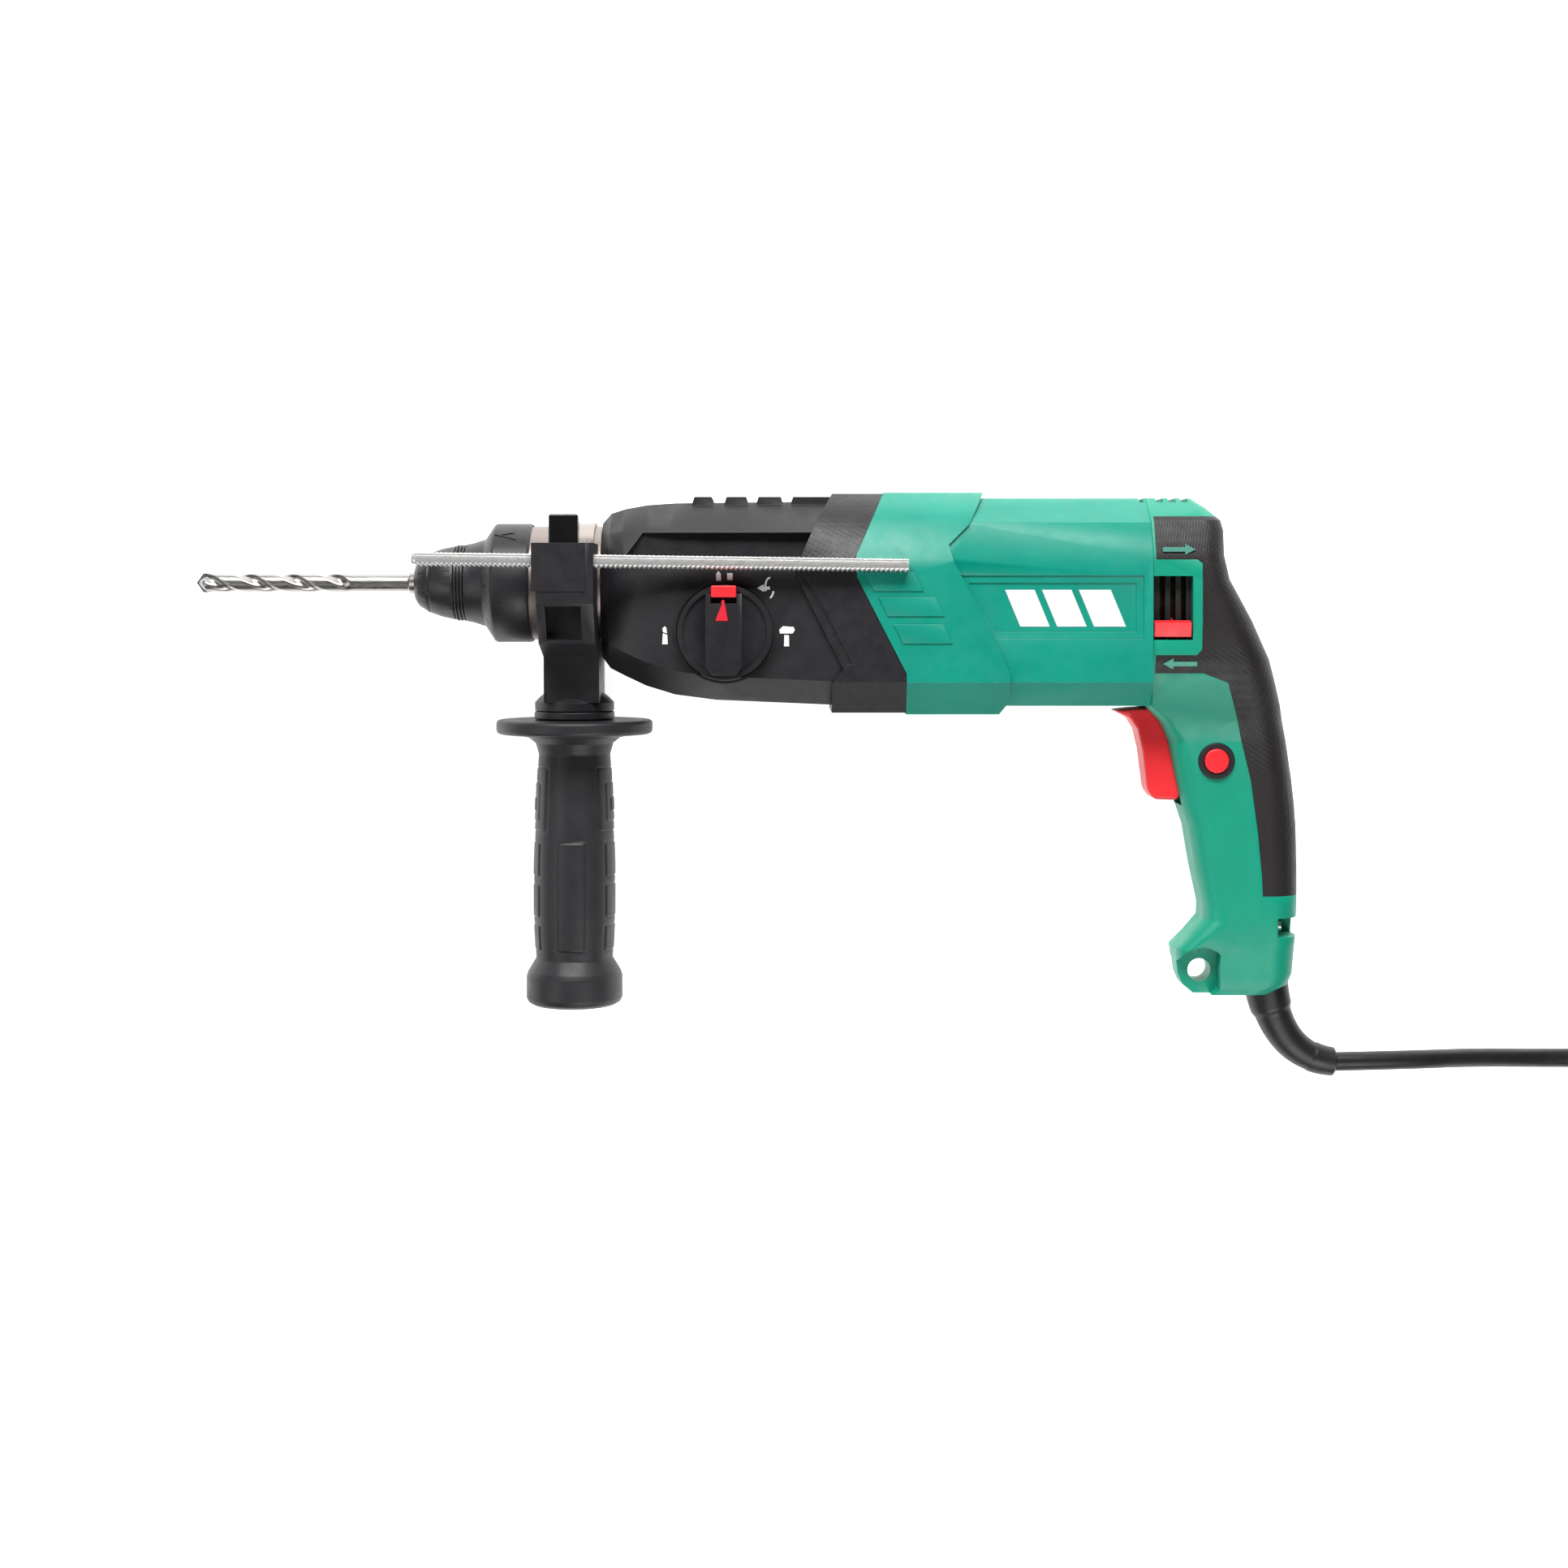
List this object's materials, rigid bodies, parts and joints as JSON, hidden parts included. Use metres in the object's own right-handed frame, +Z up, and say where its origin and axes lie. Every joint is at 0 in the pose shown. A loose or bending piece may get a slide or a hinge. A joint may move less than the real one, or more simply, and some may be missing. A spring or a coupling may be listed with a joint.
{
  "type": "rotary hammer",
  "caption": "Corded rotary hammer with pistol handle, side handle, depth rod and masonry bit; hammer mechanism, gear train and motor inside.",
  "frame": {"origin": "centre of the underside of the object's box, cord left out, as the tool lies on the right side of its housing", "axes": "+X from the bit to the handle along the spindle, +Y towards the tool's top, +Z up, out of the tool's left side"},
  "size_m": [0.7084, 0.2479, 0.0854],
  "materials": {
    "bit_steel": "ground steel",
    "black_rubber": "matt",
    "sleeve_plastic": "satin black",
    "bearing_steel": "polished",
    "hardened_steel": "ground",
    "gear_steel": "oiled",
    "spring_steel": "drawn wire",
    "cast_aluminium": "as cast",
    "collar_metal": "warm grey metal",
    "black_plastic": "fine grain",
    "black_plastic_rear": "dimpled grain",
    "green_plastic": "satin green",
    "green_handle": "satin green",
    "handle_rubber": "fine grain",
    "core_steel": "stacked sheets",
    "copper_wire": "lacquered copper",
    "fan_plastic": "glass filled",
    "brass_guides": "stamped",
    "carbon": "pressed carbon",
    "red_plastic": "satin red",
    "knob_plastic": "fine grain",
    "switch_black": "moulded",
    "clamp_plastic": "satin",
    "band_steel": "rolled strip",
    "zinc_steel": "zinc plated",
    "grip_rubber": "soft grain",
    "rod_steel": "plated, toothed",
    "button_plastic": "gloss black",
    "cord_rubber": "smooth",
    "plug_plastic": "moulded"
  },
  "bodies": {
    "housing": {"barrel_collar": "collar_metal", "gear_housing": "black_plastic", "gear_housing_rear": "black_plastic_rear", "motor_housing": "green_plastic", "handle_front": "green_handle", "rear_cover": "green_handle", "rubber_overmould": "handle_rubber", "vent_grilles": "black_plastic", "bearing_plate": "cast_aluminium", "spindle_seal": "black_rubber", "spindle_bearings": "bearing_steel", "spindle_bearing_holder": "cast_aluminium", "shaft_bearings": "bearing_steel", "stator_core": "core_steel", "field_coils": "copper_wire", "switch_module": "switch_black", "lock_bezel": "black_plastic", "housing_screws": "zinc_steel", "cord_guard": "cord_rubber", "cord_clamp": "switch_black", "cord_lead": "cord_rubber", "cord_tail": "cord_rubber", "cord_coil": "cord_rubber", "plug": "plug_plastic"},
    "armature": {"armature_shaft": "hardened_steel", "armature_core": "core_steel", "armature_windings": "copper_wire", "commutator": "copper_wire", "fan": "fan_plastic"},
    "lay_shaft": {"lay_shaft": "gear_steel", "lay_gear": "gear_steel"},
    "clutch_sleeve": {"clutch_sleeve": "gear_steel"},
    "spindle": {"spindle": "hardened_steel", "spindle_gear": "gear_steel", "clutch_spring": "spring_steel", "sleeve_spring": "spring_steel", "locking_balls": "bearing_steel", "dust_cap": "black_rubber"},
    "locking_sleeve": {"locking_sleeve": "sleeve_plastic"},
    "drill_bit": {"drill_bit": "bit_steel"},
    "impact_bolt": {"impact_bolt": "hardened_steel"},
    "striker": {"striker": "hardened_steel"},
    "piston": {"piston": "hardened_steel"},
    "swivel_pin": {"swivel_pin": "hardened_steel"},
    "wobble_plate": {"wobble_plate": "gear_steel"},
    "brush_ring": {"brush_holders": "brass_guides", "carbon_brushes": "carbon", "reversing_lever": "red_plastic"},
    "mode_knob": {"mode_knob": "knob_plastic"},
    "knob_release": {"knob_release": "red_plastic"},
    "trigger": {"trigger": "red_plastic"},
    "lock_button": {"lock_button": "red_plastic"},
    "side_clamp": {"clamp_body": "clamp_plastic", "clamp_band": "band_steel", "clamp_bolt": "zinc_steel", "clamp_washer": "clamp_plastic"},
    "side_grip": {"side_grip": "grip_rubber", "grip_nut": "zinc_steel"},
    "depth_rod": {"depth_rod": "rod_steel"},
    "rod_release": {"rod_release": "button_plastic"}
  },
  "joints": [
    {"name": "armature_spin", "type": "hinge", "parent": "housing", "child": "armature", "pos_m": [0.1029, 0.0779, 0.038], "axis": [1, 0, 0], "continuous": true},
    {"name": "lay_shaft_spin", "type": "hinge", "parent": "housing", "child": "lay_shaft", "pos_m": [0.0179, 0.0589, 0.038], "axis": [1, 0, 0], "continuous": true},
    {"name": "spindle_spin", "type": "hinge", "parent": "housing", "child": "spindle", "pos_m": [-0.0471, 0.08515, 0.038], "axis": [1, 0, 0], "continuous": true},
    {"name": "clutch_slide", "type": "slide", "parent": "lay_shaft", "child": "clutch_sleeve", "axis": [1, 0, 0], "range_m": [-0.002, 0.003]},
    {"name": "sleeve_pull", "type": "slide", "parent": "spindle", "child": "locking_sleeve", "axis": [1, 0, 0], "range_m": [0, 0.006], "stiffness_N_per_m": 300},
    {"name": "bit_float", "type": "slide", "parent": "spindle", "child": "drill_bit", "axis": [1, 0, 0], "range_m": [-0.003, 0.0015]},
    {"name": "impact_bolt_slide", "type": "slide", "parent": "housing", "child": "impact_bolt", "axis": [1, 0, 0], "range_m": [0, 0.004]},
    {"name": "striker_slide", "type": "slide", "parent": "housing", "child": "striker", "axis": [1, 0, 0], "range_m": [-0.001, 0.005]},
    {"name": "wobble_tilt", "type": "hinge", "parent": "housing", "child": "wobble_plate", "pos_m": [0.0179, 0.0589, 0.038], "axis": [0, 0, -1], "range_deg": [-12, 12]},
    {"name": "piston_slide", "type": "slide", "parent": "housing", "child": "piston", "axis": [1, 0, 0], "range_m": [-0.0054, 0.0054]},
    {"name": "swivel_pin_turn", "type": "hinge", "parent": "piston", "child": "swivel_pin", "pos_m": [0.0179, 0.08515, 0.038], "axis": [0, 0, -1], "range_deg": [-12.5, 12.5]},
    {"name": "brush_ring_turn", "type": "hinge", "parent": "housing", "child": "brush_ring", "pos_m": [0.1679, 0.0779, 0.038], "axis": [-1, 0, 0], "range_deg": [0, 26]},
    {"name": "mode_knob_turn", "type": "hinge", "parent": "housing", "child": "mode_knob", "pos_m": [-0.0162, 0.06475, 0.078], "axis": [0, 0, 1], "range_deg": [-90, 90]},
    {"name": "knob_release_press", "type": "slide", "parent": "mode_knob", "child": "knob_release", "axis": [0, -1, 0], "range_m": [0, 0.0015], "stiffness_N_per_m": 300},
    {"name": "trigger_pull", "type": "slide", "parent": "housing", "child": "trigger", "axis": [1, 0, 0], "range_m": [0, 0.006], "stiffness_N_per_m": 400},
    {"name": "lock_button_press", "type": "slide", "parent": "housing", "child": "lock_button", "axis": [0, 0, -1], "range_m": [0, 0.0025], "stiffness_N_per_m": 300},
    {"name": "side_handle_swing", "type": "hinge", "parent": "housing", "child": "side_clamp", "pos_m": [-0.0804, 0.08515, 0.038], "axis": [-1, 0, 0], "range_deg": [0, 90]},
    {"name": "grip_turn", "type": "hinge", "parent": "side_clamp", "child": "side_grip", "pos_m": [-0.0804, -0.01485, 0.038], "axis": [0, 1, 0], "range_deg": [0, 180]},
    {"name": "depth_rod_slide", "type": "slide", "parent": "side_clamp", "child": "depth_rod", "axis": [0.9999, -0.0134, 0], "range_m": [-0.08, 0.03]},
    {"name": "rod_release_press", "type": "slide", "parent": "side_clamp", "child": "rod_release", "axis": [0, -1, 0], "range_m": [0, 0.0014], "stiffness_N_per_m": 300}
  ],
  "couplings": [
    {"joint": "lay_shaft_spin", "follows": "armature_spin", "ratio": -0.25},
    {"joint": "spindle_spin", "follows": "armature_spin", "ratio": 0.068182},
    {"joint": "wobble_tilt", "follows": "piston_slide", "rad_per_m": 38.095},
    {"joint": "swivel_pin_turn", "follows": "piston_slide", "rad_per_m": 38.095}
  ]
}
